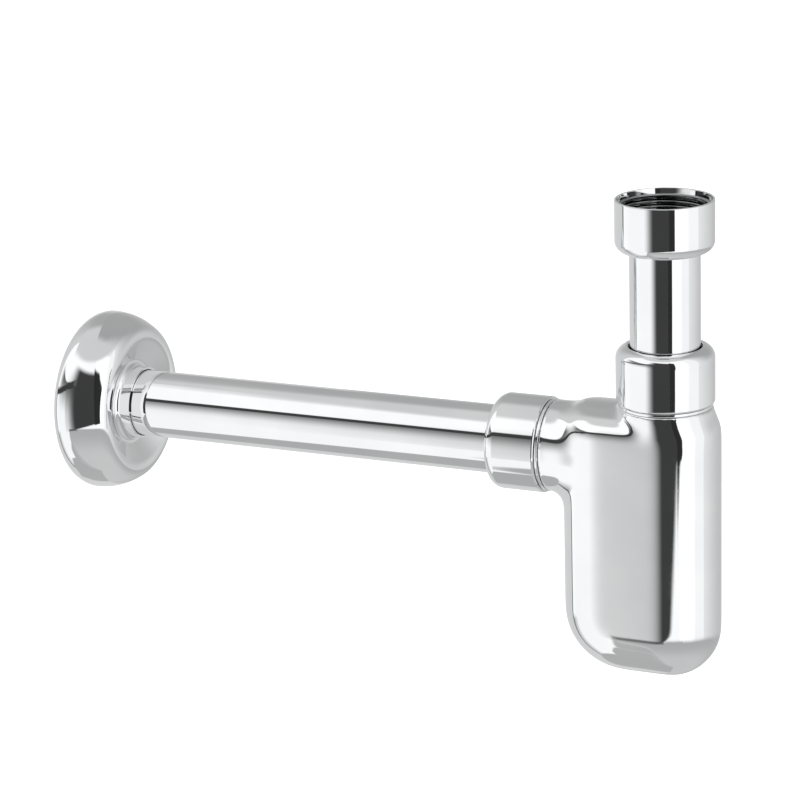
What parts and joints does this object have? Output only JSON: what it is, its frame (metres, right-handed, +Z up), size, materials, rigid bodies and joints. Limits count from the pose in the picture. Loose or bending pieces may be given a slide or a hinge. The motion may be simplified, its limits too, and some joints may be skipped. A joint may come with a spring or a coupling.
{
  "type": "bottle trap",
  "caption": "Chrome bottle trap with a flat body: a telescopic inlet tube with a coupling nut, gland nuts, and a wall tube with a sliding domed escutcheon.",
  "frame": {"origin": "centre of the inlet washer's top face, where the tail of the basin waste seats inside the coupling nut", "axes": "+Z up along the inlet tube, -X along the wall tube towards the wall, Y across the flat body"},
  "size_m": [0.3313, 0.0866, 0.2237],
  "materials": {
    "chrome_body": "polished chrome plate on brass",
    "chrome_tubes": "polished chrome plate on drawn brass tube",
    "chrome_nuts": "polished chrome plate on turned brass",
    "chrome_spigots": "chrome plate on turned brass",
    "chrome_escutcheon": "polished chrome plate on pressed brass sheet",
    "rubber_seals": "matt black rubber",
    "slip_rings": "natural nylon"
  },
  "bodies": {
    "inlet_tube": {"inlet_tube": "chrome_tubes", "inlet_washer": "rubber_seals"},
    "coupling_slip_ring": {"coupling_slip_ring": "slip_rings"},
    "coupling_nut": {"inlet_coupling_nut": "chrome_nuts"},
    "inlet_seal": {"inlet_cone_seal": "rubber_seals"},
    "trap_body": {"trap_body": "chrome_body", "inlet_spigot": "chrome_spigots", "outlet_spigot": "chrome_spigots"},
    "inlet_slip_ring": {"inlet_slip_ring": "slip_rings"},
    "inlet_gland_nut": {"inlet_gland_nut": "chrome_nuts"},
    "outlet_slip_ring": {"outlet_slip_ring": "slip_rings"},
    "outlet_gland_nut": {"outlet_gland_nut": "chrome_nuts"},
    "outlet_seal": {"outlet_cone_seal": "rubber_seals"},
    "wall_tube": {"wall_tube": "chrome_tubes"},
    "grip_ring": {"escutcheon_grip_ring": "rubber_seals"},
    "escutcheon": {"wall_escutcheon": "chrome_escutcheon"}
  },
  "joints": [
    {"name": "coupling_drop", "type": "slide", "parent": "inlet_tube", "child": "coupling_slip_ring", "axis": [0, 0, -1], "range_m": [0, 0.014]},
    {"name": "coupling_turn", "type": "hinge", "parent": "coupling_slip_ring", "child": "coupling_nut", "pos_m": [0, 0, 0], "axis": [0, 0, 1], "continuous": true},
    {"name": "height_adjust", "type": "slide", "parent": "inlet_tube", "child": "inlet_seal", "axis": [0, 0, 1], "range_m": [-0.025, 0.015]},
    {"name": "body_swivel", "type": "hinge", "parent": "inlet_seal", "child": "trap_body", "pos_m": [0, 0, -0.104], "axis": [0, 0, 1], "continuous": true},
    {"name": "inlet_nut_travel", "type": "slide", "parent": "trap_body", "child": "inlet_slip_ring", "axis": [0, 0, 1], "range_m": [0, 0.0116]},
    {"name": "inlet_nut_turn", "type": "hinge", "parent": "inlet_slip_ring", "child": "inlet_gland_nut", "pos_m": [0, 0, 0], "axis": [0, 0, 1], "range_deg": [0, 1800]},
    {"name": "outlet_nut_travel", "type": "slide", "parent": "trap_body", "child": "outlet_slip_ring", "axis": [-1, 0, 0], "range_m": [0, 0.0116]},
    {"name": "outlet_nut_turn", "type": "hinge", "parent": "outlet_slip_ring", "child": "outlet_gland_nut", "pos_m": [0, 0, -0.104], "axis": [-1, 0, 0], "range_deg": [0, 1800]},
    {"name": "wall_tube_turn", "type": "hinge", "parent": "trap_body", "child": "outlet_seal", "pos_m": [0, 0, -0.104], "axis": [-1, 0, 0], "continuous": true},
    {"name": "wall_tube_slide", "type": "slide", "parent": "outlet_seal", "child": "wall_tube", "axis": [-1, 0, 0], "range_m": [-0.015, 0.02]},
    {"name": "escutcheon_slide", "type": "slide", "parent": "wall_tube", "child": "grip_ring", "axis": [1, 0, 0], "range_m": [0, 0.15]},
    {"name": "escutcheon_turn", "type": "hinge", "parent": "grip_ring", "child": "escutcheon", "pos_m": [-0.27, 0, -0.104], "axis": [-1, 0, 0], "continuous": true}
  ],
  "couplings": [
    {"joint": "inlet_nut_travel", "follows": "inlet_nut_turn", "m_per_rad": 0.0003675},
    {"joint": "outlet_nut_travel", "follows": "outlet_nut_turn", "m_per_rad": 0.0003675}
  ]
}
